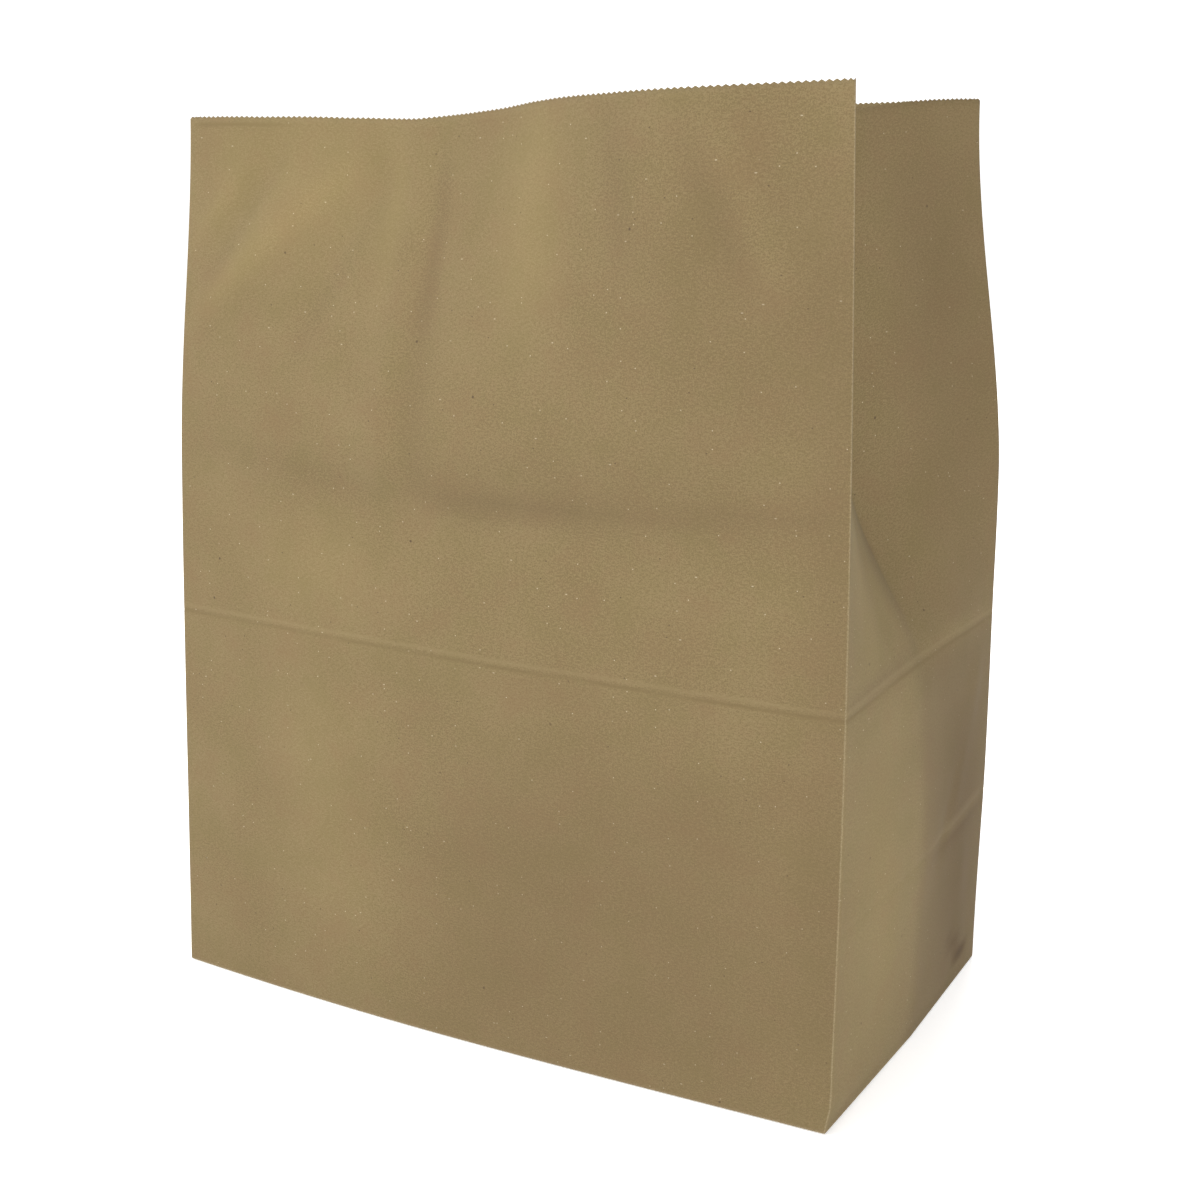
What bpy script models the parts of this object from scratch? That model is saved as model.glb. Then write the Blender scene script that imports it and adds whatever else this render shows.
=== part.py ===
"""A self-opening paper bag: one kraft sheet folded and glued into an open, free-standing bag.

The bag stands on z = 0 with the middle of its base at the origin. The front panel faces -Y.
Lengths are in metres. Heights up a panel are measured along the paper.
"""
import bpy
import bmesh
from math import sqrt, pi, sin
from mathutils import Vector

WIDTH = 0.266               # front and back panels
DEPTH = 0.140               # side gussets, open
HEIGHT = 0.320              # base fold to the tips of the cut edge
PAPER = 0.00012             # one layer of kraft paper
FRONT_TEETH = 122           # saw teeth across the front
SIDE_TEETH = 64             # saw teeth across a gusset, an even number
TOOTH_DEPTH = 0.0006
SEAM_LAP = 0.020            # glued lap up the back panel
SEAM_INSET = 0.030          # from the back panel's left fold to the lap
FLAP = 0.085                # length of the end flaps and the front flap of the base
OUTER_FLAP = 0.093          # length of the back flap, glued on last
MOST_LAYERS = 5             # where the base flaps overlap
CUT_EDGE = 0.0001           # half the run of a step at a sheet's edge
FOLD_CREASE = DEPTH / 2     # crease left by the flat-folded base
TOP_CREASE = DEPTH          # the far edge of the flat-folded base
BUCKLE = 0.182              # height of the soft buckle across the front
GUSSET_RIDGE = 0.0015        # how far its middle fold stands out at the base
GUSSET_TUCK = 0.030         # how far the gusset's middle is drawn in at the top
LIP_CREST = 0.012           # how far the front lip stands out towards its right end
LIP_HOLLOW = 0.014          # how far it falls back left of its middle
BASE_RIM = 0.0006           # single layer round the base, where the paper turns up
RISE_STEP = 0.004           # step in which a wall's rise is summed
WALL_ROWS = (0.005, 0.024, 0.047, FOLD_CREASE, 0.093, 0.117, TOP_CREASE, 0.160, BUCKLE, 0.205,
             0.230, 0.255, 0.280, 0.302, HEIGHT - 0.008)


def smooth(low, high, value):
    """Ease from 0 at low to 1 at high."""
    t = min(max((value - low) / (high - low), 0.0), 1.0)
    return t * t * (3 - 2 * t)


def hump(low, peak, high, value):
    """Rise from 0 at low to 1 at peak and fall back to 0 at high."""
    return smooth(low, peak, value) * (1 - smooth(peak, high, value))


# The four vertical folds, in plan, at height h.

def front_left(h):
    return Vector((-WIDTH / 2 - 0.001 - 0.001 * hump(0, 0.17, HEIGHT, h) + 0.006 * smooth(0.2, HEIGHT, h),
                   -DEPTH / 2 - 0.005 + 0.030 * h / HEIGHT))


def front_right(h):
    return Vector((WIDTH / 2 - 0.001 + 0.002 * sin(pi * h / HEIGHT), -DEPTH / 2 + 0.001))


def back_right(h):
    return Vector((WIDTH / 2 + 0.003 + 0.003 * hump(0, 0.17, HEIGHT, h) - 0.010 * smooth(0.19, HEIGHT, h),
                   DEPTH / 2 + 0.001 - 0.007 * smooth(0.06, 0.16, h)))


def back_left(h):
    return Vector((-WIDTH / 2 - 0.001 - 0.004 * hump(0, 0.17, HEIGHT, h) + 0.005 * smooth(0.2, HEIGHT, h),
                   DEPTH / 2 + 0.001 - 0.004 * smooth(0.08, 0.2, h)))


def front_swell(u, h):
    """How far the front panel stands out from the plane of its folds; u runs left to right."""
    arch = sin(pi * (u + 0.3 * u * (1 - u)))
    foot = 0.004 * (1 - smooth(0, 0.09, h)) + 0.003 * hump(0.0, 0.09, TOP_CREASE, h)
    dent = 0.005 * hump(0.05, TOP_CREASE, BUCKLE, h) + 0.007 * hump(BUCKLE, 0.214, 0.31, h)
    lip = LIP_CREST * hump(0.52, 0.80, 1.0, u) - LIP_HOLLOW * hump(0.0, 0.37, 0.70, u)
    return arch * foot + sin(pi * u) * dent + lip * smooth(BUCKLE, HEIGHT, h)


def back_swell(u, h):
    swell = 0.002 + 0.003 * hump(0.02, 0.17, HEIGHT, h) + 0.009 * smooth(0.19, HEIGHT, h)
    return sin(pi * u) * swell


def gusset_swell(u, h):
    """Outward swell of a gusset, less the tuck that draws its middle fold in above the crease."""
    middle = 1 - abs(2 * u - 1)
    foot = GUSSET_RIDGE * middle * (1 - smooth(0.06, TOP_CREASE, h))
    return foot - GUSSET_TUCK * middle * smooth(0.125, 0.215, h)


PANELS = (
    # name, width, teeth, first fold, last fold, swell, outward direction, coarse columns
    ("front", WIDTH, FRONT_TEETH, front_left, front_right, front_swell, Vector((0, -1)), 12),
    ("right", DEPTH, SIDE_TEETH, front_right, back_right, gusset_swell, Vector((1, 0)), 8),
    ("back", WIDTH, FRONT_TEETH, back_right, back_left, back_swell, Vector((0, 1)), 12),
    ("left", DEPTH, SIDE_TEETH, back_left, front_left, gusset_swell, Vector((-1, 0)), 8),
)
SEAM_OUTER = WIDTH - SEAM_INSET - SEAM_LAP      # the lap's edges, along the back panel
SEAM_INNER = WIDTH - SEAM_INSET
BASE_FOLD = 3 * PAPER                           # height of the inside of the folds round the base


def wall_plan(panel, u, h):
    """Where the inside of a wall is in plan, u of the way across a panel and h up the paper."""
    name, width, teeth, first, last, swell, outward, columns = PANELS[panel]
    place = first(h).lerp(last(h), u) + outward * swell(u, h)
    if name == "back" and SEAM_OUTER < u * width < SEAM_INNER:
        place -= outward * PAPER * (u * width - SEAM_OUTER) / SEAM_LAP
    return place


def wall_point(panel, u, h):
    """A point of a wall. Paper does not stretch, so each run along it rises less where it leans."""
    steps = int(h / RISE_STEP) + 1
    place, rise = wall_plan(panel, u, 0), 0
    for i in range(steps):
        ahead = wall_plan(panel, u, h * (i + 1) / steps)
        rise += sqrt((h / steps) ** 2 - min((ahead - place).length, h / steps) ** 2)
        place = ahead
    return Vector((place.x, place.y, BASE_FOLD + rise))


def column_places(panel):
    """Where the coarse columns stand across a panel, with both edges of each cut layer."""
    name, width, teeth, first, last, swell, outward, columns = PANELS[panel]
    places = [i / columns for i in range(columns)]
    if name == "back":
        for edge in (SEAM_OUTER, SEAM_INNER):
            places += [(edge - CUT_EDGE) / width, (edge + CUT_EDGE) / width]
    return sorted(places)


def wall_layers(panel, u):
    name, width = PANELS[panel][:2]
    return 2 if name == "back" and SEAM_OUTER < u * width < SEAM_INNER else 1


def base_layers(x, y):
    """Layers of paper at a point of the base, and how many outer layers are missing under them.

    x and y are measured from the base's front left corner. The end flaps are folded in first, then
    the front flap, then the back one. A long flap's mitred corners are doubled under it.
    """
    end = min(x, WIDTH - x)
    if min(end, y, DEPTH - y) < CUT_EDGE:
        return 1, 2
    in_front = y < FLAP and y < end
    in_back = DEPTH - y < OUTER_FLAP and DEPTH - y < end
    layers = (end < FLAP) + in_front * (1 + (end < FLAP)) + in_back * (1 + (end < OUTER_FLAP))
    missing = 0 if in_back else 1 if in_front else 2
    return layers, missing


def base_outline(x, y):
    """Carry a point of the flat rectangle into the base's slightly bowed outline."""
    u, v = x / WIDTH, y / DEPTH
    front, back = wall_plan(0, u, 0), wall_plan(2, 1 - u, 0)
    left, right = wall_plan(3, 1 - v, 0), wall_plan(1, v, 0)
    flat = wall_plan(0, 0, 0).lerp(wall_plan(1, 0, 0), u).lerp(
        wall_plan(3, 0, 0).lerp(wall_plan(2, 0, 0), u), v)
    return front.lerp(back, v) + left.lerp(right, u) - flat


def base_cuts():
    """Lines across the flat base, as points and normals, on both sides of each flap's edge."""
    cuts = [((BASE_RIM, 0), (1, 0)), ((WIDTH - BASE_RIM, 0), (1, 0)),
            ((0, BASE_RIM), (0, 1)), ((0, DEPTH - BASE_RIM), (0, 1))]
    for step in (-CUT_EDGE, CUT_EDGE):
        for flap in (FLAP, OUTER_FLAP):
            cuts += [((flap + step, 0), (1, 0)), ((WIDTH - flap + step, 0), (1, 0))]
        cuts += [((0, FLAP + step), (0, 1)), ((0, DEPTH - OUTER_FLAP + step), (0, 1))]
        for x, y, side in ((0, 0, -1), (WIDTH, 0, 1), (0, DEPTH, 1), (WIDTH, DEPTH, -1)):
            cuts.append(((x + step * sqrt(2), y), (1, side)))
    return cuts


def make_base(bm, weights):
    """The folded base: a plate cut along the flaps' edges. Returns its outer ring of vertices."""
    plate = bmesh.ops.create_grid(bm, x_segments=1, y_segments=1, size=0.5)["verts"]
    bmesh.ops.scale(bm, verts=plate, vec=(WIDTH, DEPTH, 1))
    bmesh.ops.translate(bm, verts=plate, vec=(WIDTH / 2, DEPTH / 2, 0))
    rim_cuts = [((WIDTH * i / 6, 0), (1, 0)) for i in range(1, 6)] + [((0, DEPTH / 2), (0, 1))]
    for (x, y), (nx, ny) in base_cuts():
        everything = bm.verts[:] + bm.edges[:] + bm.faces[:]
        bmesh.ops.bisect_plane(bm, geom=everything, dist=1e-7, plane_co=(x, y, 0), plane_no=(nx, ny, 0))
    for (x, y), (nx, ny) in rim_cuts:
        rim = [f for f in bm.faces if min(f.calc_center_median().x, f.calc_center_median().y,
                                          WIDTH - f.calc_center_median().x,
                                          DEPTH - f.calc_center_median().y) < BASE_RIM]
        around = list({v for f in rim for v in f.verts}) + list({e for f in rim for e in f.edges})
        bmesh.ops.bisect_plane(bm, geom=around + rim, dist=1e-7, plane_co=(x, y, 0), plane_no=(nx, ny, 0))
    bmesh.ops.reverse_faces(bm, faces=bm.faces[:])
    ring = []
    for vert in bm.verts:
        x, y = vert.co.x, vert.co.y
        layers, missing = base_layers(x, y)
        weights[vert] = layers
        for panel, along, on_edge in ((0, x / WIDTH, y < 1e-7), (1, y / DEPTH, x > WIDTH - 1e-7),
                                      (2, 1 - x / WIDTH, y > DEPTH - 1e-7), (3, 1 - y / DEPTH, x < 1e-7)):
            if on_edge and along < 1 - 1e-6:
                ring.append((panel + along, vert))
                break
        vert.co = (*base_outline(x, y), PAPER * (layers + missing))
    return sorted(ring, key=lambda pair: pair[0])


def stitch(bm, lower, upper):
    """Join two closed rings of (place, vertex) pairs, which may differ in count."""
    low = lower + [(lower[0][0] + 4, lower[0][1])]
    high = upper + [(upper[0][0] + 4, upper[0][1])]
    i = j = 0
    while i < len(lower) or j < len(upper):
        next_low = low[i + 1][0] if i < len(lower) else 9
        next_high = high[j + 1][0] if j < len(upper) else 9
        if abs(next_low - next_high) < 1e-5:
            bm.faces.new((low[i][1], low[i + 1][1], high[j + 1][1], high[j][1]))
            i, j = i + 1, j + 1
        elif next_low < next_high:
            bm.faces.new((low[i][1], low[i + 1][1], high[j][1]))
            i += 1
        else:
            bm.faces.new((low[i][1], high[j + 1][1], high[j][1]))
            j += 1


def make_ring(bm, weights, height, places):
    ring = []
    for panel, u in places:
        vert = bm.verts.new(wall_point(panel, u, height))
        weights[vert] = wall_layers(panel, u)
        ring.append((panel + u, vert))
    return ring


def make_walls(bm, weights, base_ring):
    """Rows of paper up to the roots of the teeth. Returns the ring of roots."""
    columns = [(panel, u) for panel in range(4) for u in column_places(panel)]
    below = base_ring
    for height in WALL_ROWS:
        row = make_ring(bm, weights, height, columns)
        stitch(bm, below, row)
        below = row
    roots = [(panel, i / PANELS[panel][2]) for panel in range(4) for i in range(PANELS[panel][2])]
    root_ring = make_ring(bm, weights, HEIGHT - TOOTH_DEPTH, roots)
    stitch(bm, below, root_ring)
    return root_ring


def make_teeth(bm, weights, root_ring):
    """The saw-cut top edge: one triangle for each tooth."""
    tips = [(panel, (i + 0.5) / PANELS[panel][2]) for panel in range(4) for i in range(PANELS[panel][2])]
    tip_ring = make_ring(bm, weights, HEIGHT, tips)
    for i, (place, tip) in enumerate(tip_ring):
        bm.faces.new((root_ring[i][1], root_ring[(i + 1) % len(root_ring)][1], tip))


def kraft_paper():
    material = bpy.data.materials.new("kraft_paper")
    material.use_nodes = True
    shader = material.node_tree.nodes["Principled BSDF"]
    shader.inputs["Base Color"].default_value = (0.305, 0.218, 0.110, 1)
    shader.inputs["Roughness"].default_value = 0.85
    return material


def make_bag():
    """The inner face of the folded sheet, thickened outwards by its layers."""
    bm = bmesh.new()
    weights = {}
    base_ring = make_base(bm, weights)
    root_ring = make_walls(bm, weights, base_ring)
    make_teeth(bm, weights, root_ring)
    bm.verts.index_update()
    layers = {vert.index: count for vert, count in weights.items()}
    mesh = bpy.data.meshes.new("paper_bag")
    bm.to_mesh(mesh)
    bm.free()
    bag = bpy.data.objects.new("paper_bag", mesh)
    bpy.context.collection.objects.link(bag)
    bag.data.materials.append(kraft_paper())
    group = bag.vertex_groups.new(name="layers")
    for index, count in layers.items():
        group.add([index], count / MOST_LAYERS, "REPLACE")
    thickness = bag.modifiers.new("paper", "SOLIDIFY")
    thickness.thickness = PAPER * MOST_LAYERS
    thickness.offset = 1
    thickness.use_even_offset = True
    thickness.vertex_group = "layers"
    return bag


for old in list(bpy.data.objects):
    bpy.data.objects.remove(old)
make_bag()
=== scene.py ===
from functools import lru_cache
from math import cos, exp, pi, radians, sin, sqrt

import bmesh
import bpy
from mathutils import Matrix, Vector, noise


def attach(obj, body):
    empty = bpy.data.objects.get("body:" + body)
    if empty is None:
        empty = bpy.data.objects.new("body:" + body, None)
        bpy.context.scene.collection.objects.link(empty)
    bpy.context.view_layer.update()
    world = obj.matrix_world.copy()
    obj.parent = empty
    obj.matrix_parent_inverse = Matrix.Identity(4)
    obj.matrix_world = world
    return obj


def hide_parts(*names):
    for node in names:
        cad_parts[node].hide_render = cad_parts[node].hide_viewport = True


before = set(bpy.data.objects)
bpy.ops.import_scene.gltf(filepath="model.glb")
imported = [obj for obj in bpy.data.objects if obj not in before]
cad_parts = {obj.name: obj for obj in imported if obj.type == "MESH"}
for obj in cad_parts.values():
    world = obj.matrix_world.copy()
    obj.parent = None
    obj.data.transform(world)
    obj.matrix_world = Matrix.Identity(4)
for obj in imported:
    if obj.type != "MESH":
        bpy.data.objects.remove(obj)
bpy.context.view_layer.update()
print("frame loaded")

# camera: azimuth round from the front and height above the horizon, in degrees, at a place in metres
cameraSet = {
    "azimuth": 29.9,
    "elevation": 15.0,
    "roll": -0.92,
    "place": (0.290, -0.484, 0.2955),
    "lens": 47.3,
    "sensor": 36.0,
    "nearest": 0.01,
}


def addCamera():
    az, el, roll = (radians(cameraSet[k]) for k in ("azimuth", "elevation", "roll"))
    away = Vector((sin(az) * cos(el), -cos(az) * cos(el), sin(el)))
    level = Vector((cos(az), sin(az), 0))
    rise = away.cross(level)
    across = level * cos(roll) + rise * sin(roll)
    up = rise * cos(roll) - level * sin(roll)
    data = bpy.data.cameras.new("bagCamera")
    data.lens = cameraSet["lens"]
    data.sensor_width = cameraSet["sensor"]
    data.clip_start = cameraSet["nearest"]
    camera = bpy.data.objects.new("bagCamera", data)
    turn = Matrix((across, up, away)).transposed().to_4x4()
    camera.matrix_world = Matrix.Translation(cameraSet["place"]) @ turn
    bpy.context.collection.objects.link(camera)
    bpy.context.scene.camera = camera


addCamera()
print("camera placed")

# the sheet of kraft paper, in metres; heights run up the paper from the fold round the base
bag = {
    "width": 0.266,
    "depth": 0.140,
    "height": 0.320,
    "paper": 0.00012,
    "layerGap": 0.00016,    # from one glued layer of the base to the next
    "foldHeight": 0.00036,  # inside of the folds round the base
    "frontTeeth": 122,
    "sideTeeth": 64,
    "toothDepth": 0.0006,
    "lapFrom": 99,          # teeth along the back panel where the glued lap starts and ends
    "lapTo": 108,
    "flap": 0.085,
    "outerFlap": 0.093,
    "buckle": 0.182,
    "tuck": 0.030,          # how far a gusset's middle fold is drawn in
    "gussetRidge": 0.0015,  # how far it stands out at the base
    "lipCrest": 0.012,
    "lipHollow": 0.014,
    "foldRadius": 0.0006,
    "foldRound": 0.45,      # how much of a fold's knife edge is rounded away
    "creaseWidth": 0.0007,
    "creaseDepth": 0.00010,
    "rowStep": 0.0042,
    "firstRow": 0.0012,     # row just above the fold round the base
    "toothBand": 0.0024,    # row just under the teeth
    "shortestTooth": 0.0012,
    "flapRows": 10,
    "baseRim": 0.0015,      # strip round the base where the paper turns up
    "mitreReach": 0.11,
    "lapEase": 0.06,        # share of the back panel over which the lap's layer is eased in
    "gussetWear": 0.25,
    "cockle": 0.00045,      # slow waviness left by the paper mill's drying
    "cockleScale": (0.022, 0.016),
    "cockleStep": 9.7,      # keeps the panels' waves apart
}
front, right, back, left = range(4)
panelWidth = (bag["width"], bag["depth"], bag["width"], bag["depth"])
panelTeeth = (bag["frontTeeth"], bag["sideTeeth"], bag["frontTeeth"], bag["sideTeeth"])
outward = (Vector((0, -1)), Vector((1, 0)), Vector((0, 1)), Vector((-1, 0)))

# soft ridges (lift above 0) and hollows, in mm: from x, height, to x, height, width, lift
# x runs left to right across a panel as seen from outside
wrinkles = {
    front: [
        (70, 306, 4, 250, 9, 1.7), (42, 310, 14, 262, 6, -1.2), (25, 300, 4, 277, 5, 1.0),
        (84, 300, 52, 235, 8, -1.0), (98, 318, 97, 200, 8, 1.3), (112, 318, 111, 190, 8, -1.4),
        (78, 316, 76, 262, 6, 0.8), (160, 320, 158, 258, 13, 1.8), (188, 318, 192, 262, 8, -1.0),
        (214, 314, 236, 262, 7, -1.2), (228, 312, 250, 255, 7, 1.0), (72, 134, 98, 6, 26, 1.6),
        (170, 150, 190, 60, 24, -0.6), (214, 128, 230, 20, 20, 0.6), (40, 166, 96, 168, 14, 0.8),
        (246, 240, 262, 190, 6, -0.6), (36, 120, 66, 60, 12, 0.4), (60, 196, 130, 190, 5, -0.5),
    ],
    right: [
        (40, 196, 44, 150, 7, -0.4), (86, 200, 108, 150, 8, 0.5), (128, 128, 100, 84, 7, 0.9),
        (118, 112, 84, 64, 5, -0.7), (30, 120, 50, 30, 12, 0.6), (112, 60, 122, 12, 8, 0.5),
        (96, 300, 100, 240, 9, 0.5),
    ],
    back: [
        (60, 300, 84, 200, 14, 1.0), (150, 290, 140, 200, 16, -0.8), (216, 306, 200, 240, 12, 0.9),
        (20, 180, 246, 176, 10, 0.8), (90, 120, 80, 20, 20, 0.8), (190, 120, 200, 30, 18, -0.6),
    ],
    left: [
        (136, 206, 116, 148, 6, 1.0), (104, 210, 100, 150, 8, -0.6), (84, 190, 74, 148, 6, 0.7),
        (40, 200, 24, 150, 8, 0.7), (14, 126, 40, 84, 7, 0.8), (92, 120, 84, 24, 14, 0.6),
    ],
}

# painted light and shade: the paper's colour made lighter (above 0) where light falls on ridges and darker
# where hollows, creases and the lower walls are in shade
# same measures as the wrinkles, the last number a share of the paper's colour
paintedShading = {
    front: [
        (10, 300, 96, 304, 36, 0.17), (72, 303, 7, 251, 6, 0.14), (25, 298, 4, 277, 4, 0.09),
        (44, 308, 12, 262, 4, -0.11), (88, 300, 56, 240, 5, -0.08), (111, 308, 110, 250, 4, -0.12),
        (110, 260, 112, 192, 7, -0.07), (92, 312, 90, 250, 4, 0.05), (158, 320, 154, 256, 16, 0.21),
        (190, 310, 194, 270, 6, -0.06), (214, 311, 234, 268, 5, -0.06), (228, 306, 248, 262, 5, 0.05),
        (118, 193, 190, 195, 5, -0.13), (190, 195, 258, 199, 4, -0.08), (120, 206, 240, 210, 14, -0.04),
        (10, 205, 100, 193, 6, -0.05), (40, 166, 92, 164, 20, 0.10), (66, 122, 84, 6, 28, 0.11),
        (166, 124, 168, 8, 44, -0.08), (20, 6, 246, 6, 50, -0.06), (264, 300, 264, 20, 13, -0.09),
        (8, 318, 38, 318, 1, -0.06),
        (230, 300, 244, 220, 44, -0.08), (226, 120, 236, 12, 46, -0.11), (130, 90, 130, 10, 40, -0.04),
    ],
    right: [
        (32, 132, 34, 4, 34, 0.17), (108, 118, 112, 8, 30, -0.16), (14, 200, 36, 150, 20, 0.22),
        (48, 178, 60, 150, 7, 0.12),
        (80, 300, 88, 190, 18, 0.05), (114, 304, 124, 176, 30, -0.12), (0, 143, 66, 143, 3, -0.16),
        (74, 143, 136, 143, 3, 0.08), (74, 71, 136, 70, 2, 0.12), (74, 66, 136, 65, 3, -0.06),
        (112, 12, 130, 8, 2, -0.34), (104, 22, 120, 15, 3, -0.14),
    ],
    back: [
        (40, 160, 60, 30, 26, 0.05), (190, 250, 200, 180, 24, -0.05), (20, 190, 246, 188, 5, -0.05),
    ],
    left: [
        (110, 128, 112, 10, 24, 0.06), (30, 120, 30, 10, 22, -0.07), (8, 142, 132, 142, 3, -0.06),
    ],
}


# the right gusset's far half is in shade, deeper below the crease; from and to are shares across it
farHalf = {
    "from": 0.42,
    "to": 0.52,
    "shade": 0.05,
    "deeper": 0.08,
    "deepBelow": 0.132,
    "fadedAt": 0.142,
}


def smooth(low, high, value):
    t = min(max((value - low) / (high - low), 0.0), 1.0)
    return t * t * (3 - 2 * t)


def hump(low, peak, high, value):
    return smooth(low, peak, value) * (1 - smooth(peak, high, value))


def foldPlan(corner, h):
    # the four vertical folds seen from above, counted from the front left one
    w, d, tall = bag["width"] / 2, bag["depth"] / 2, bag["height"]
    if corner == 0:
        return Vector((-w - 0.001 - 0.001 * hump(0, 0.17, tall, h) + 0.006 * smooth(0.2, tall, h),
                       -d - 0.005 + 0.030 * h / tall))
    if corner == 1:
        blunt = 0.0020 * (1 - smooth(0, 0.012, h))
        return Vector((w - 0.001 + 0.002 * sin(pi * h / tall) - blunt, -d + 0.001 + blunt * 0.6))
    if corner == 2:
        return Vector((w + 0.003 + 0.003 * hump(0, 0.17, tall, h) - 0.010 * smooth(0.19, tall, h),
                       d + 0.001 - 0.007 * smooth(0.06, 0.16, h)))
    return Vector((-w - 0.001 - 0.004 * hump(0, 0.17, tall, h) + 0.005 * smooth(0.2, tall, h),
                   d + 0.001 - 0.004 * smooth(0.08, 0.2, h)))


def swell(panel, u, h):
    # how far a wall stands out from the plane of its two folds
    tall, buckle = bag["height"], bag["buckle"]
    if panel == front:
        arch = sin(pi * (u + 0.3 * u * (1 - u)))
        foot = 0.004 * (1 - smooth(0, 0.09, h)) + 0.003 * hump(0.0, 0.09, bag["depth"], h)
        dent = 0.005 * hump(0.05, bag["depth"], buckle, h) + 0.007 * hump(buckle, 0.214, 0.31, h)
        lip = bag["lipCrest"] * hump(0.52, 0.80, 1.0, u) - bag["lipHollow"] * hump(0.0, 0.37, 0.70, u)
        return arch * foot + sin(pi * u) * dent + lip * smooth(buckle, tall, h)
    if panel == back:
        return sin(pi * u) * (0.002 + 0.003 * hump(0.02, 0.17, tall, h) + 0.009 * smooth(0.19, tall, h))
    middle = 1 - abs(2 * u - 1)
    foot = bag["gussetRidge"] * (1 - smooth(0.06, bag["depth"], h))
    belly = 0.0012 * hump(0, 0.07, bag["depth"], h)
    return middle * (foot + belly) - bag["tuck"] * middle * smooth(0.125, 0.215, h)


def ridgeLift(x, h, ridge):
    x1, h1, x2, h2, width, lift = ridge
    runX, runH = x2 - x1, h2 - h1
    along = min(max(((x - x1) * runX + (h - h1) * runH) / (runX * runX + runH * runH), 0), 1)
    offX, offH = x - x1 - along * runX, h - h1 - along * runH
    return lift * exp(-(offX * offX + offH * offH) / (width * width)) * (0.35 + 0.65 * sin(pi * along) ** 0.5)


def relief(panel, u, h):
    x, y = u * panelWidth[panel] * 1000, h * 1000
    lift = sum(ridgeLift(x, y, r) for r in wrinkles[panel]) * 0.001
    waveX, waveY = bag["cockleScale"]
    spot = Vector((x * waveX, y * waveY, panel * bag["cockleStep"]))
    lift += bag["cockle"] * noise.fractal(spot, 0.9, 2.0, 3)
    side = min(u, 1 - u) * panelWidth[panel]
    lift *= smooth(-0.004, 0.016, side) * smooth(0, 0.012, h)
    creases = (bag["depth"],) if panel == front else (bag["depth"] / 2, bag["depth"])
    for crease in creases:
        lift -= bag["creaseDepth"] * max(0, 1 - abs(h - crease) / bag["creaseWidth"])
    return lift


# painted light and shade at a point of a panel, with the right gusset's far half painted darker
def paintedShadingAt(panel, u, h):
    x, y = u * panelWidth[panel] * 1000, h * 1000
    beyond = smooth(farHalf["from"], farHalf["to"], u) if panel == right else 0
    low = 1 - smooth(farHalf["deepBelow"], farHalf["fadedAt"], h)
    shaded = beyond * (farHalf["shade"] + farHalf["deeper"] * low)
    return sum(ridgeLift(x, y, tone) for tone in paintedShading[panel]) - shaded


def wallPlan(panel, u, h):
    place = foldPlan(panel, h).lerp(foldPlan((panel + 1) % 4, h), u)
    return place + outward[panel] * (swell(panel, u, h) + relief(panel, u, h))


def roundedPlan(panel, u, h, innerLap):
    # a fold is a tight bend, not a knife edge
    near = bag["foldRadius"] / panelWidth[panel]
    place = wallPlan(panel, u, h)
    if u < 1e-6 or u > 1 - 1e-6:
        other = (panel - 1) % 4 if u < 0.5 else (panel + 1) % 4
        otherNear = bag["foldRadius"] / panelWidth[other]
        a = wallPlan(panel, near if u < 0.5 else 1 - near, h)
        b = wallPlan(other, 1 - otherNear if u < 0.5 else otherNear, h)
        place = place.lerp((a + b) / 2, bag["foldRound"])
    return place - outward[panel] * innerLap


def sheetPlaces():
    # columns of the flat sheet from the lap's outer edge round to its inner edge
    near = bag["foldRadius"]
    spans = ((back, bag["lapFrom"], panelTeeth[back]), (left, 0, panelTeeth[left]),
             (front, 0, panelTeeth[front]), (right, 0, panelTeeth[right]), (back, 0, bag["lapTo"]))
    places, start = [], 0.0
    for panel, first, last in spans:
        pitch = panelWidth[panel] / panelTeeth[panel]
        marks = {i * pitch for i in range(first, last)}
        if first == 0:
            marks |= {near}
        if last == panelTeeth[panel]:
            marks |= {panelWidth[panel] - near}
        for mark in sorted(marks):
            places.append((start + mark - first * pitch, panel, mark / panelWidth[panel]))
        start += (last - first) * pitch
    places.append((start, back, bag["lapTo"] / panelTeeth[back]))
    return places


def sheetRows():
    step = bag["flap"] / bag["flapRows"]
    base = [-bag["outerFlap"]] + [-step * i for i in range(bag["flapRows"], 0, -1)] + [-bag["baseRim"]]
    wall = [0.0, bag["firstRow"]]
    top = bag["height"] - bag["toothDepth"]
    stops = [bag["firstRow"], bag["depth"] / 2, bag["depth"], bag["buckle"], top - bag["toothBand"], top]
    for low, high in zip(stops, stops[1:]):
        count = max(1, round((high - low) / bag["rowStep"]))
        wall += [low + (high - low) * (i + 1) / count for i in range(count)]
    for crease in (bag["depth"] / 2, bag["depth"]):
        wall += [crease - bag["creaseWidth"], crease + bag["creaseWidth"]]
    return base + sorted(wall)


places, rows = sheetPlaces(), sheetRows()
starts = [p[0] for p in places]
lapLength = (panelTeeth[back] - bag["lapFrom"]) * bag["width"] / panelTeeth[back]


def findPlace(s):
    # the panel and the share across it at a distance along the flat sheet
    edges = [(back, bag["width"] - lapLength), (left, 0), (front, 0), (right, 0), (back, 0)]
    lengths = [lapLength, bag["depth"], bag["width"], bag["depth"], 1.0]
    for i, ((panel, skip), length) in enumerate(zip(edges, lengths)):
        if s < length - 1e-7 or i == 4:
            return panel, (max(s, 0) + skip) / panelWidth[panel], i == 4
        s -= length


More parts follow.
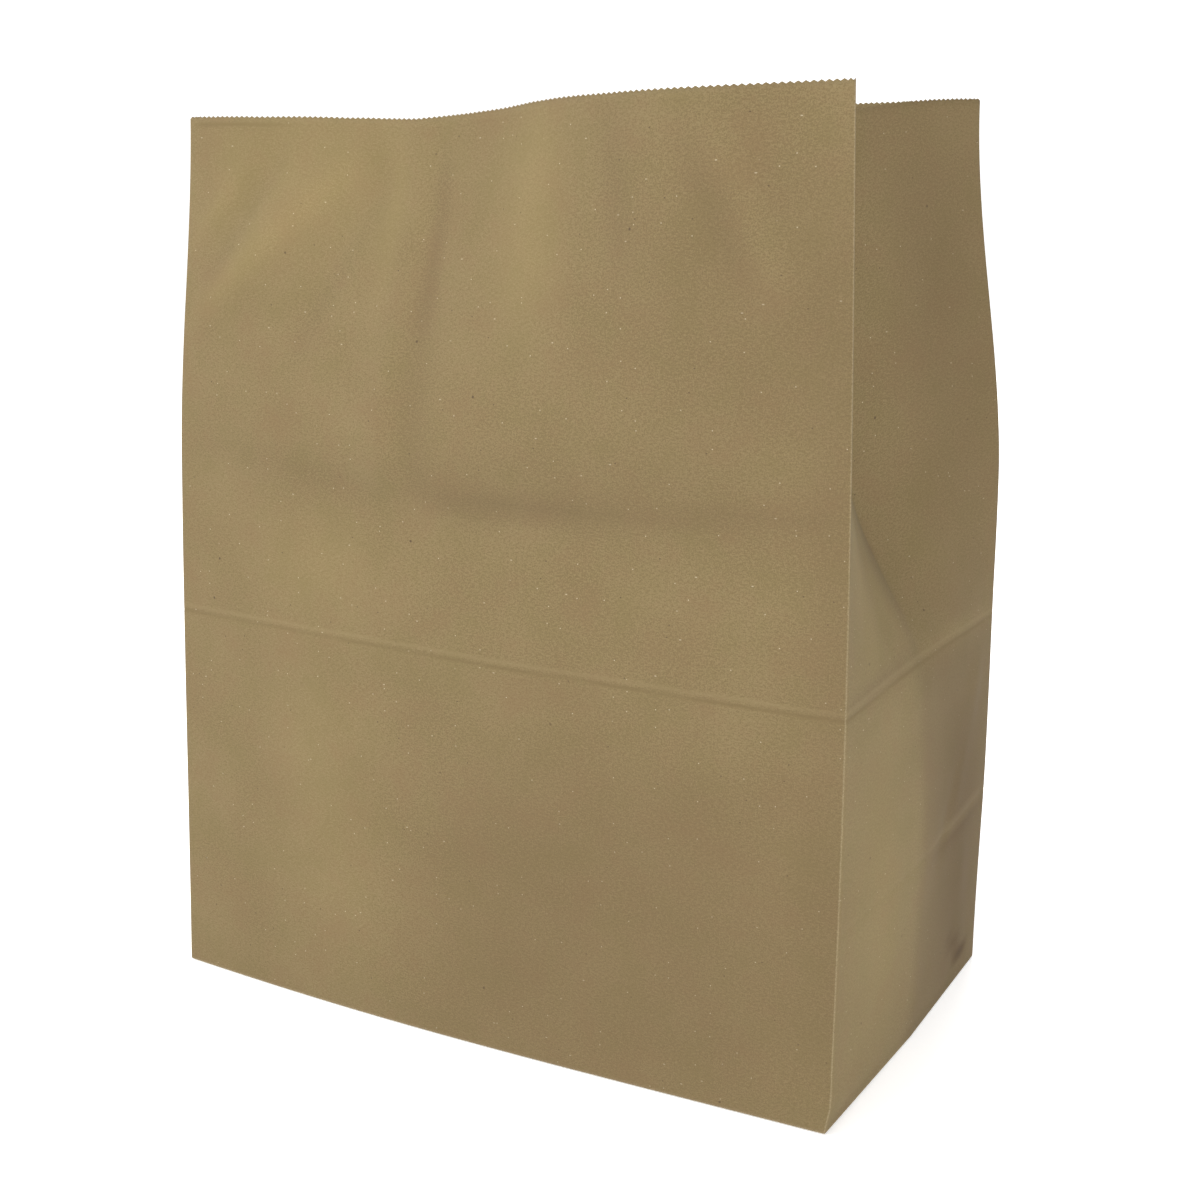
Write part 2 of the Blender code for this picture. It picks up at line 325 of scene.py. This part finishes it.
@lru_cache(maxsize=None)
def columnPoints(s):
    # a column folded into place; paper does not stretch, so a leaning run rises less
    panel, u, last = findPlace(s)
    lapStart = bag["lapFrom"] / panelTeeth[back]
    inner = bag["layerGap"] * smooth(lapStart - bag["lapEase"], lapStart, u) if last else 0
    points, rise, before = [], 0.0, roundedPlan(panel, u, 0, inner)
    heights = [h for h in rows if h >= 0] + [bag["height"]]
    for i, h in enumerate(heights):
        place = roundedPlan(panel, u, h, inner)
        step = h - heights[i - 1] if i else 0
        rise += sqrt(max(step * step - (place - before).length_squared, 0))
        points.append((h, Vector((place.x, place.y, bag["foldHeight"] + rise))))
        before = place
    return points


def wallPoint(s, h):
    return min(columnPoints(round(s, 7)), key=lambda p: abs(p[0] - h))[1].copy()


def baseOutline(x, y):
    u, v = x / bag["width"], y / bag["depth"]
    sides = wallPlan(front, u, 0).lerp(wallPlan(back, 1 - u, 0), v)
    ends = wallPlan(left, 1 - v, 0).lerp(wallPlan(right, v, 0), u)
    corners = foldPlan(0, 0).lerp(foldPlan(1, 0), u).lerp(foldPlan(3, 0).lerp(foldPlan(2, 0), u), v)
    return sides + ends - corners


def flapPoint(s, h):
    # the base: end flaps first, then the front flap, then the back one, each with mitred corners
    panel, u = findPlace(s)[:2]
    width, reach = panelWidth[panel], -h
    across, side = u * width, min(u, 1 - u) * width
    level = {front: 2, back: 0, left: 4, right: 4}[panel]
    height = bag["paper"] + level * bag["layerGap"]
    if panel in (front, back) and reach > side + 1e-7:
        across, reach = (reach if u < 0.5 else width - reach), side
        height = (level + 1) * bag["layerGap"]
    elif panel in (front, back) and abs(reach - side) <= 1e-7:
        height = bag["paper"] / 2 + (level + 0.5) * bag["layerGap"]
    x, y = ((across, reach), (bag["width"] - reach, across),
            (bag["width"] - across, bag["depth"] - reach), (reach, bag["depth"] - across))[panel]
    plan = baseOutline(x, y)
    settle = smooth(0, bag["baseRim"], min(x, bag["width"] - x, y, bag["depth"] - y))
    return Vector((plan.x, plan.y, bag["foldHeight"] * (1 - settle) + height * settle))


def flatSheet(bm):
    bmesh.ops.create_grid(bm, x_segments=len(places) - 1, y_segments=len(rows) - 1, size=1)
    for vert in bm.verts:
        i = round((vert.co.x + 1) / 2 * (len(places) - 1))
        j = round((vert.co.y + 1) / 2 * (len(rows) - 1))
        vert.co = (starts[i], rows[j], 0)


def cutTeeth(bm):
    top = rows[-1] - 1e-6
    along = [e for e in bm.edges if min(v.co.y for v in e.verts) > top]
    edges = [e for e in along if e.calc_length() > bag["shortestTooth"]]
    cut = bmesh.ops.subdivide_edges(bm, edges=edges, cuts=1)
    for tip in (g for g in cut["geom_inner"] if isinstance(g, bmesh.types.BMVert)):
        tip.co.y = bag["height"]


def trimFlaps(bm):
    # only the back flap is long, and the lap's hidden layer stops at the base fold
    def surplus(face):
        middle = face.calc_center_median()
        panel, u, last = findPlace(middle.x)
        if middle.y < 0 and last:
            return u * panelTeeth[back] > bag["lapFrom"]
        return middle.y < -bag["flap"] and panel != back
    bmesh.ops.delete(bm, geom=[f for f in bm.faces if surplus(f)], context="FACES")


def scoreMitres(bm):
    # 45 degree folds at both ends of the long flaps, cut into the flat sheet's mesh
    for s, panel, u in places:
        if panel not in (front, back) or u > 1e-6:
            continue
        for start, side in ((s, 1), (s + bag["width"], -1)):
            scoreLine(bm, panel, start, side)
    scoreLine(bm, back, lapLength, -1)


def scoreLine(bm, panel, start, side):
    def inCorner(face):
        middle = face.calc_center_median()
        near = 0 < (middle.x - start) * side < bag["mitreReach"]
        return middle.y < 0 and near and findPlace(middle.x)[0] == panel
    faces = [f for f in bm.faces if inCorner(f)]
    edges = list({e for f in faces for e in f.edges})
    verts = list({v for f in faces for v in f.verts})
    bmesh.ops.bisect_plane(bm, geom=verts + edges + faces, dist=1e-7,
                           plane_co=(start, 0, 0), plane_no=(1, side, 0))


def mapPaper(bm):
    # the flat sheet's own measures stay on the paper as a UV map, in metres
    uv = bm.loops.layers.uv.new("paper")
    for face in bm.faces:
        for loop in face.loops:
            loop[uv].uv = loop.vert.co.xy
    foldWearAndHighlight = bm.verts.layers.float.new("foldWearAndHighlight")
    tone = bm.verts.layers.float.new("tone")
    for vert in bm.verts:
        panel, u = findPlace(vert.co.x)[:2]
        side = min(u, 1 - u) * panelWidth[panel]
        # the folds are paler: worn fibres and a painted highlight along the fold's edge
        vert[foldWearAndHighlight] = 1.0 if side < 1e-5 or abs(vert.co.y) < 1e-6 else 0.0
        if panel in (left, right) and abs(u - 0.5) < 1e-5:
            vert[foldWearAndHighlight] = bag["gussetWear"] * smooth(0.05, 0.09, vert.co.y)
        # the tone attribute carries the painted light and shade
        vert[tone] = paintedShadingAt(panel, u, max(vert.co.y, 0))


def foldSheet(bm):
    for vert in bm.verts:
        s, h = vert.co.x, vert.co.y
        vert.co = wallPoint(s, h) if h > -1e-9 else flapPoint(s, h)


def makeBag():
    bm = bmesh.new()
    flatSheet(bm)
    cutTeeth(bm)
    trimFlaps(bm)
    scoreMitres(bm)
    mapPaper(bm)
    foldSheet(bm)
    bmesh.ops.triangulate(bm, faces=[f for f in bm.faces if len(f.verts) > 4])
    mesh = bpy.data.meshes.new("kraftBag")
    bm.to_mesh(mesh)
    bm.free()
    mesh.shade_smooth()
    mesh.set_sharp_from_angle(angle=radians(70))
    piece = bpy.data.objects.new("kraftBag", mesh)
    bpy.context.collection.objects.link(piece)
    thick = piece.modifiers.new("paper", "SOLIDIFY")
    thick.thickness = bag["paper"]
    thick.offset = 1
    return piece


kraftBag = makeBag()
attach(kraftBag, "root")
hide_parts("paper_bag")
print("bag folded:", len(kraftBag.data.polygons), "faces")

# the paper's finish: colours are linear, sizes in metres
kraft = {
    "body": (0.171, 0.125, 0.056),
    "light": (0.208, 0.155, 0.074),
    "dark": (0.134, 0.094, 0.038),
    "ruddy": (0.161, 0.103, 0.047),
    "olive": (0.143, 0.109, 0.041),
    "fibre": (0.50, 0.43, 0.30),
    "shive": (0.060, 0.036, 0.018),
    "deepShadeBrown": (0.130, 0.072, 0.020),
    "wornAndHighlit": (0.32, 0.26, 0.165),
    "roughness": 0.86,
    "bumpHeight": 0.00006,
    "cloudScale": 34,       # how many to a metre
    "mottleScale": 1800,
    "grainScale": 2900,
    "strandScale": 1500,
    "tintScale": 48,
    "specks": [
        # colour, cell, size, share of the cells, strength, stretch, turn
        ("fibre", 0.0050, 0.00024, 0.11, 0.75, (1, 1, 1), 0.0),
        ("fibre", 0.0065, 0.00024, 0.07, 0.5, (0.45, 1, 1), 0.8),
        ("shive", 0.0078, 0.00030, 0.10, 0.8, (0.8, 1, 1), 0.2),
        ("shive", 0.0300, 0.00060, 0.12, 0.85, (1, 1, 1), 0.0),
    ],
    # tints that follow the painted light and shade: yellower where painted lighter, redder and browner where
    # painted darker
    "paintedShadeTints": [
        # colour, tone where it starts, tone where it is full, strength
        ("olive", 0.0, 0.16, 0.25),
        ("ruddy", 0.0, -0.12, 0.25),
        ("deepShadeBrown", -0.12, -0.50, 0.9),
    ],
    # the crease's painted shade, and a painted highlight on the ridge above it
    "creaseHalf": 0.0013,
    "creaseWander": 0.0022,
    "creaseHighlightRise": 0.0022,    # pale ridge above the crease
    "curlHeight": 0.3172,   # where the front lip's curl shades it
    "curlHalf": 0.0014,
    "curlStart": (0.192, 0.197),
    "curlEnd": (0.252, 0.212),
}


def newNode(tree, kind, **values):
    node = tree.nodes.new(kind)
    for key, value in values.items():
        if hasattr(node, key):
            setattr(node, key, value)
        else:
            node.inputs[key.replace("_", " ")].default_value = value
    return node


def noiseField(tree, vector, scale, detail=2.0, stretch=(1, 1, 1), turn=0.0, roughness=0.5):
    mapping = newNode(tree, "ShaderNodeMapping")
    mapping.inputs["Scale"].default_value = stretch
    mapping.inputs["Rotation"].default_value = (0, 0, turn)
    field = newNode(tree, "ShaderNodeTexNoise", Scale=scale, Detail=detail, Roughness=roughness)
    tree.links.new(vector, mapping.inputs["Vector"])
    tree.links.new(mapping.outputs["Vector"], field.inputs["Vector"])
    return field.outputs["Fac"]


def ramp(tree, value, low, high, outLow=0.0, outHigh=1.0):
    node = newNode(tree, "ShaderNodeMapRange")
    node.interpolation_type = "SMOOTHSTEP"
    for key, number in (("From Min", low), ("From Max", high), ("To Min", outLow), ("To Max", outHigh)):
        node.inputs[key].default_value = number
    tree.links.new(value, node.inputs["Value"])
    return node.outputs["Result"]


def maths(tree, operation, a, b):
    node = newNode(tree, "ShaderNodeMath")
    node.operation = operation
    for socket, value in zip(node.inputs, (a, b)):
        if isinstance(value, (int, float)):
            socket.default_value = value
        else:
            tree.links.new(value, socket)
    return node.outputs[0]


def blend(tree, factor, below, above):
    node = newNode(tree, "ShaderNodeMix")
    node.data_type = "RGBA"
    tree.links.new(factor, node.inputs["Factor"])
    for socket, value in ((node.inputs[6], below), (node.inputs[7], above)):
        if isinstance(value, tuple):
            socket.default_value = (*value, 1)
        else:
            tree.links.new(value, socket)
    return node.outputs[2]


def specks(tree, vector, cell, size, share, stretch, turn):
    # small marks scattered one to a cell, in only a share of the cells
    mapping = newNode(tree, "ShaderNodeMapping")
    mapping.inputs["Scale"].default_value = stretch
    mapping.inputs["Rotation"].default_value = (0, 0, turn)
    tree.links.new(vector, mapping.inputs["Vector"])
    cells = newNode(tree, "ShaderNodeTexVoronoi", Scale=1 / cell, Randomness=1.0, voronoi_dimensions="2D")
    tree.links.new(mapping.outputs["Vector"], cells.inputs["Vector"])
    spot = ramp(tree, cells.outputs["Distance"], size / cell, size / cell * 0.4)
    split = newNode(tree, "ShaderNodeSeparateColor")
    tree.links.new(cells.outputs["Color"], split.inputs["Color"])
    chosen = ramp(tree, split.outputs["Red"], 1 - share, 1 - share + 0.01)
    return maths(tree, "MULTIPLY", spot, chosen)


def lineAt(tree, value, centre, halfWidth):
    away = maths(tree, "ABSOLUTE", maths(tree, "SUBTRACT", value, centre), 0)
    return ramp(tree, away, halfWidth, 0.0)


def kraftPaper():
    material = bpy.data.materials.new("kraftPaper")
    material.use_nodes = True
    tree = material.node_tree
    shader = tree.nodes["Principled BSDF"]
    uv = newNode(tree, "ShaderNodeUVMap", uv_map="paper").outputs["UV"]
    split = newNode(tree, "ShaderNodeSeparateXYZ")
    tree.links.new(uv, split.inputs[0])
    along, height = split.outputs["X"], split.outputs["Y"]

    clouds = noiseField(tree, uv, kraft["cloudScale"], 3)
    mottle = noiseField(tree, uv, kraft["mottleScale"], 3, roughness=0.6)
    grain = noiseField(tree, uv, kraft["grainScale"], 2, roughness=0.7)
    strands = maths(tree, "ADD", noiseField(tree, uv, kraft["strandScale"], 2, (0.5, 1, 1), 0.5),
                    noiseField(tree, uv, kraft["strandScale"], 2, (0.5, 1, 1), -0.9))
    tone = maths(tree, "ADD", maths(tree, "MULTIPLY", clouds, 0.12), maths(tree, "MULTIPLY", mottle, 0.50))
    tone = maths(tree, "ADD", tone, maths(tree, "MULTIPLY", grain, 0.45))
    tone = maths(tree, "ADD", tone, maths(tree, "MULTIPLY", strands, 0.20))

    colour = blend(tree, ramp(tree, tone, 0.60, 0.82), kraft["dark"], kraft["body"])
    colour = blend(tree, ramp(tree, tone, 0.69, 0.91), colour, kraft["light"])
    tint = noiseField(tree, uv, kraft["tintScale"], 5, roughness=0.72)
    colour = blend(tree, ramp(tree, tint, 0.44, 0.74, 0.0, 0.5), colour, kraft["ruddy"])
    colour = blend(tree, ramp(tree, tint, 0.56, 0.26, 0.0, 0.5), colour, kraft["olive"])
    for name, cell, size, share, strength, stretch, turn in kraft["specks"]:
        marks = specks(tree, uv, cell, size, share, stretch, turn)
        colour = blend(tree, maths(tree, "MULTIPLY", marks, strength), colour, kraft[name])

    # painted shade in the crease and a painted highlight on the ridge just above it
    wave = maths(tree, "SUBTRACT", noiseField(tree, uv, 16, 3), 0.5)
    wander = maths(tree, "MULTIPLY", wave, kraft["creaseWander"])
    lineHeight = maths(tree, "ADD", height, wander)
    creases = lineAt(tree, lineHeight, bag["depth"], kraft["creaseHalf"])
    creaseShade = maths(tree, "MULTIPLY", creases, ramp(tree, clouds, 0.38, 0.60, 0.45, 1.0))
    colour = blend(tree, maths(tree, "MULTIPLY", creaseShade, 0.7), colour, kraft["dark"])
    ridge = lineAt(tree, lineHeight, bag["depth"] + kraft["creaseHighlightRise"], kraft["creaseHalf"])
    colour = blend(tree, maths(tree, "MULTIPLY", ridge, 0.35), colour, kraft["light"])
    # painted shade under the lip, which is curled over a little near the front left fold
    curlShade = lineAt(tree, height, kraft["curlHeight"], kraft["curlHalf"])
    for end in ("curlEnd", "curlStart"):
        curlShade = maths(tree, "MULTIPLY", curlShade, ramp(tree, along, *kraft[end]))
    colour = blend(tree, maths(tree, "MULTIPLY", curlShade, 0.8), colour, kraft["dark"])
    # paler along the folds: worn fibres and a painted highlight on the fold's edge
    foldWearAndHighlight = newNode(tree, "ShaderNodeAttribute", attribute_name="foldWearAndHighlight").outputs["Fac"]
    rubbedAndHighlit = maths(tree, "MULTIPLY", ramp(tree, foldWearAndHighlight, 0.15, 0.95), ramp(tree, mottle, 0.35, 0.65, 0.10, 0.5))
    colour = blend(tree, rubbedAndHighlit, colour, kraft["wornAndHighlit"])
    # painted light and shade: the tone attribute tints the colour and scales it lighter or darker
    shade = newNode(tree, "ShaderNodeAttribute", attribute_name="tone").outputs["Fac"]
    for name, first, full, strength in kraft["paintedShadeTints"]:
        colour = blend(tree, ramp(tree, shade, first, full, 0.0, strength), colour, kraft[name])
    scaled = newNode(tree, "ShaderNodeVectorMath")
    scaled.operation = "SCALE"
    tree.links.new(colour, scaled.inputs[0])
    tree.links.new(maths(tree, "ADD", shade, 1.0), scaled.inputs["Scale"])
    tree.links.new(scaled.outputs[0], shader.inputs["Base Color"])

    rough = ramp(tree, mottle, 0.3, 0.7, kraft["roughness"] - 0.07, kraft["roughness"] + 0.06)
    tree.links.new(rough, shader.inputs["Roughness"])
    shader.inputs["Specular IOR Level"].default_value = 0.35
    relief = maths(tree, "ADD", maths(tree, "MULTIPLY", grain, 0.5), maths(tree, "MULTIPLY", strands, 0.4))
    relief = maths(tree, "ADD", relief, maths(tree, "MULTIPLY", mottle, 0.9))
    relief = maths(tree, "SUBTRACT", relief, maths(tree, "MULTIPLY", creases, 1.2))
    bump = newNode(tree, "ShaderNodeBump", Strength=0.55, Distance=kraft["bumpHeight"])
    tree.links.new(relief, bump.inputs["Height"])
    tree.links.new(bump.outputs["Normal"], shader.inputs["Normal"])
    return material


kraftBag.data.materials.append(kraftPaper())
print("paper finished")

# a white sweep behind and under the bag, and soft boxes
studio = {
    "floor": 3.2,
    "gap": 0.0003,          # floor to base
    "sweepRadius": 0.7,
    "wall": 3.0,
    "white": (0.92, 0.92, 0.92),
    "glow": 0.42,
    "world": 0.42,
    "boxes": [
        # name, place, size, watts, colour
        ("keyBox", (-1.3, -0.8, 1.3), 0.6, 25, (1.0, 0.99, 0.965)),
        ("fillBox", (1.3, -1.2, 0.45), 0.7, 18, (0.985, 0.99, 1.0)),
        ("topBox", (0.0, -0.5, 1.7), 0.9, 12, (1.0, 1.0, 1.0)),
        ("backBox", (-0.4, 1.7, 1.0), 0.8, 14, (1.0, 1.0, 1.0)),
    ],
}


def addSweep():
    bm = bmesh.new()
    reach, radius = studio["floor"], studio["sweepRadius"]
    edge = [bm.verts.new((x, -reach, -studio["gap"])) for x in (-reach, reach)]
    strip = bm.edges.new(edge)
    out = bmesh.ops.extrude_edge_only(bm, edges=[strip])
    verts = [g for g in out["geom"] if isinstance(g, bmesh.types.BMVert)]
    bmesh.ops.translate(bm, verts=verts, vec=(0, reach * 2 - radius, 0))
    edges = [g for g in out["geom"] if isinstance(g, bmesh.types.BMEdge)]
    spun = bmesh.ops.spin(bm, geom=edges, axis=(1, 0, 0), angle=pi / 2, steps=16,
                          cent=(0, reach - radius, radius - studio["gap"]))
    last = [g for g in spun["geom_last"] if isinstance(g, bmesh.types.BMEdge)]
    out = bmesh.ops.extrude_edge_only(bm, edges=last)
    verts = [g for g in out["geom"] if isinstance(g, bmesh.types.BMVert)]
    bmesh.ops.translate(bm, verts=verts, vec=(0, 0, studio["wall"]))
    bmesh.ops.recalc_face_normals(bm, faces=bm.faces[:])
    turn = Matrix.Rotation(radians(cameraSet["azimuth"]), 3, "Z")
    bmesh.ops.rotate(bm, verts=bm.verts[:], cent=(0, 0, 0), matrix=turn)
    mesh = bpy.data.meshes.new("sweep")
    bm.to_mesh(mesh)
    bm.free()
    mesh.shade_smooth()
    sweep = bpy.data.objects.new("sweep", mesh)
    bpy.context.collection.objects.link(sweep)
    white = bpy.data.materials.new("sweepWhite")
    white.use_nodes = True
    shader = white.node_tree.nodes["Principled BSDF"]
    shader.inputs["Base Color"].default_value = (*studio["white"], 1)
    shader.inputs["Roughness"].default_value = 0.9
    shader.inputs["Emission Color"].default_value = (1, 1, 1, 1)
    shader.inputs["Emission Strength"].default_value = studio["glow"]
    mesh.materials.append(white)


def addLights():
    world = bpy.data.worlds.new("studioWorld")
    bpy.context.scene.world = world
    world.use_nodes = True
    world.node_tree.nodes["Background"].inputs["Color"].default_value = (1, 1, 1, 1)
    world.node_tree.nodes["Background"].inputs["Strength"].default_value = studio["world"]
    for name, place, size, watts, colour in studio["boxes"]:
        data = bpy.data.lights.new(name, "AREA")
        data.shape = "SQUARE"
        data.size, data.energy, data.color = size, watts, colour
        light = bpy.data.objects.new(name, data)
        light.location = place
        aim = Vector((0, 0, 0.15)) - Vector(place)
        light.rotation_euler = aim.to_track_quat("-Z", "Y").to_euler()
        bpy.context.collection.objects.link(light)


addSweep()
addLights()
bpy.context.scene.view_settings.view_transform = "Standard"
print("studio lit")
